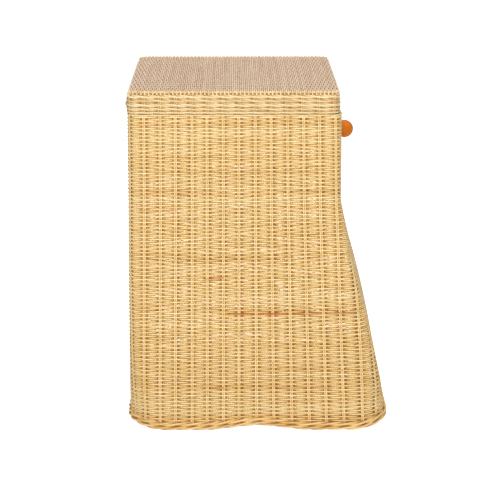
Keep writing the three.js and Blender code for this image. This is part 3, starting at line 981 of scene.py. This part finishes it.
# %% Hinge rings
RING_R, RING_STEPS, RING_TWISTS, RING_STRANDS = 5.6, 48, 6, 3
for name in ("hinge_ring_left", "hinge_ring_right"):
    low, high = (np.array(corner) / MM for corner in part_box(name))
    centre = (low + high) / 2
    angles = np.linspace(0, 2 * math.pi, RING_STEPS, endpoint=False)
    spoke = np.column_stack([np.cos(angles), np.zeros(RING_STEPS), np.sin(angles)])
    ring = centre + spoke * RING_R
    strands = []
    for k in range(RING_STRANDS):
        turn = RING_TWISTS * angles + k * 2 * math.pi / RING_STRANDS
        strands.append(guide(ring, outward=spoke, up=(0, 1, 0), turn=turn, tone=0.5, closed=True))
    strand_piece(
        name + "_cane", strands, "body", pole_finish, radius=0.68, bow=0.6, rise=0.6, sides=8,
        stands_for=(name,),
    )

# %% [markdown]
# ## Ball knob
# The knob is a turned beech ball with a matt orange stain, on a small flat where it meets the wall. A screw
# through a wooden disc inside holds it. All three are turned shapes, so a profile is spun round the X axis.

# %% Finishes of the knob
PORES_PER_M = (260.0, 900.0, 900.0)
RAYS_PER_M = (900.0, 70.0, 700.0)
SPANGLE_PER_M = 2500.0
ball_finish, tree, shader = new_material("beech, stained orange, matt", 0.62, 1.47)
shader.inputs["Specular IOR Level"].default_value = 0.25
place = add_node(tree, "ShaderNodeTexCoord").outputs["Object"]
stretched = add_node(tree, "ShaderNodeMapping", Vector=place, Scale=PORES_PER_M).outputs["Vector"]
pores = add_node(tree, "ShaderNodeTexNoise", Vector=stretched, Scale=1.0, Detail=4.0)
ball_shade = add_node(tree, "ShaderNodeValToRGB", Fac=pores.outputs["Fac"])
set_ramp(ball_shade, [(0.3, "#D06B10"), (0.5, "#DA7614"), (0.7, "#E5821C")])
tree.links.new(ball_shade.outputs["Color"], shader.inputs["Base Color"])
bump = add_node(tree, "ShaderNodeBump", Strength=0.2, Distance=0.2 * MM, Height=pores.outputs["Fac"])
tree.links.new(bump.outputs["Normal"], shader.inputs["Normal"])

disc_finish, tree, shader = new_material("turned beech, clear matt lacquer", 0.5, 1.47)
place = add_node(tree, "ShaderNodeTexCoord").outputs["Object"]
stretched = add_node(tree, "ShaderNodeMapping", Vector=place, Scale=RAYS_PER_M).outputs["Vector"]
rays = add_node(tree, "ShaderNodeTexNoise", Vector=stretched, Scale=1.0, Detail=4.0)
disc_shade = add_node(tree, "ShaderNodeValToRGB", Fac=rays.outputs["Fac"])
set_ramp(disc_shade, [(0.3, "#C79A6B"), (0.7, "#E2BE93")])
tree.links.new(disc_shade.outputs["Color"], shader.inputs["Base Color"])

zinc_finish, tree, shader = new_material("zinc-plated steel", 0.35)
shader.inputs["Metallic"].default_value = 1.0
place = add_node(tree, "ShaderNodeTexCoord").outputs["Object"]
spangle = add_node(tree, "ShaderNodeTexNoise", Vector=place, Scale=SPANGLE_PER_M, Detail=2.0)
zinc_shade = add_node(tree, "ShaderNodeValToRGB", Fac=spangle.outputs["Fac"])
set_ramp(zinc_shade, [(0.3, "#B4B6B8"), (0.7, "#D2D3D2")])
tree.links.new(zinc_shade.outputs["Color"], shader.inputs["Base Color"])


# %% Turned pieces of the knob
def turned(name, profile, centre, finish, segments=64):
    """Spins a profile of (x, radius) rows in mm round the X axis. The first and last radius are 0."""
    mesh = bmesh.new()
    rings = []
    for x, r in profile:
        if r == 0:
            rings.append([mesh.verts.new(Vector((centre[0] + x, centre[1], centre[2])) * MM)])
            continue
        angles = [2 * math.pi * k / segments for k in range(segments)]
        spots = [(centre[0] + x, centre[1] + r * math.cos(a), centre[2] + r * math.sin(a)) for a in angles]
        rings.append([mesh.verts.new(Vector(spot) * MM) for spot in spots])
    for a, b in zip(rings, rings[1:]):
        for k in range(segments):
            corners = [a[k % len(a)], a[(k + 1) % len(a)], b[(k + 1) % len(b)], b[k % len(b)]]
            mesh.faces.new(list(dict.fromkeys(corners)))
    bmesh.ops.recalc_face_normals(mesh, faces=mesh.faces)
    for face in mesh.faces:
        face.smooth = True
    data = bpy.data.meshes.new(name)
    mesh.to_mesh(data)
    mesh.free()
    data.materials.append(finish)
    piece = bpy.data.objects.new(name, data)
    scene.collection.objects.link(piece)
    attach(piece, "body")
    print(name, len(data.polygons), "faces")
    return piece


ball_low, ball_high = (np.array(corner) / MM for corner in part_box("knob_ball"))
disc_low, disc_high = (np.array(corner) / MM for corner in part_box("knob_backing_disc"))
screw_low, screw_high = (np.array(corner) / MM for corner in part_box("knob_screw"))
BORE_R = 2.35
END_PLAY = 0.4
ball_r = (ball_high[1] - ball_low[1]) / 2
ball_centre = (ball_high[0] - ball_r, 0, (ball_low[2] + ball_high[2]) / 2)
seat = ball_low[0] - ball_centre[0]
bore_end = screw_high[0] + END_PLAY - ball_centre[0]
profile = [(bore_end, 0), (bore_end, BORE_R), (seat, BORE_R)]
for a in np.linspace(math.acos(-seat / ball_r), math.pi, 28):
    profile.append((-ball_r * math.cos(a), ball_r * math.sin(a) if a < math.pi - 1e-6 else 0))
ball = turned("knob_turned_ball", profile, ball_centre, ball_finish)
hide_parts("knob_ball")

axis = (0, 0, ball_centre[2])
back, front, disc_r = disc_low[0], disc_high[0], disc_high[1]
profile = [(back, BORE_R), (back, disc_r - 1.5), (back + 0.45, disc_r - 0.45), (back + 1.5, disc_r)]
profile += [(front - 0.6, disc_r), (front, disc_r - 0.6), (front, BORE_R), (back, BORE_R)]
disc = turned("knob_turned_disc", profile, axis, disc_finish)
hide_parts("knob_backing_disc")

# %% [markdown]
# The screw has a low round head with a slot. The slot is cut with a thin block, and the result is kept as
# plain mesh.

# %% Slotted screw
THREAD_PITCH, THREADS = 2, 8
head, tip = screw_low[0], screw_high[0]
profile = [(head, 0), (head, 2.4), (head + 0.3, 3.6), (head + 0.9, 4.2), (head + 1.4, 4.2), (head + 2.6, 2.0)]
for k in range(THREADS):
    x = disc_high[0] + THREAD_PITCH * k
    profile += [(x, 1.7), (x + 1.0, 2.0)]
profile += [(tip - 4, 1.6), (tip, 0)]
screw = turned("knob_slotted_screw", profile, axis, zinc_finish, segments=32)
block = bpy.data.meshes.new("slot block")
spots = [(head + x, y, axis[2] + z) for x in (-1, 0.8) for y in (-0.5, 0.5) for z in (-6, 6)]
sheets = [(0, 1, 3, 2), (4, 6, 7, 5), (0, 4, 5, 1), (2, 3, 7, 6), (0, 2, 6, 4), (1, 5, 7, 3)]
block.from_pydata([Vector(spot) * MM for spot in spots], [], sheets)
cutter = bpy.data.objects.new("slot block", block)
scene.collection.objects.link(cutter)
modifier = screw.modifiers.new("slot", "BOOLEAN")
modifier.operation = "DIFFERENCE"
modifier.solver = "EXACT"
modifier.object = cutter
depsgraph = bpy.context.evaluated_depsgraph_get()
screw.data = bpy.data.meshes.new_from_object(screw.evaluated_get(depsgraph))
screw.modifiers.clear()
bpy.data.objects.remove(cutter)
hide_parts("knob_screw")
print("screw", len(screw.data.polygons), "faces, ball radius", round(ball_r, 2))
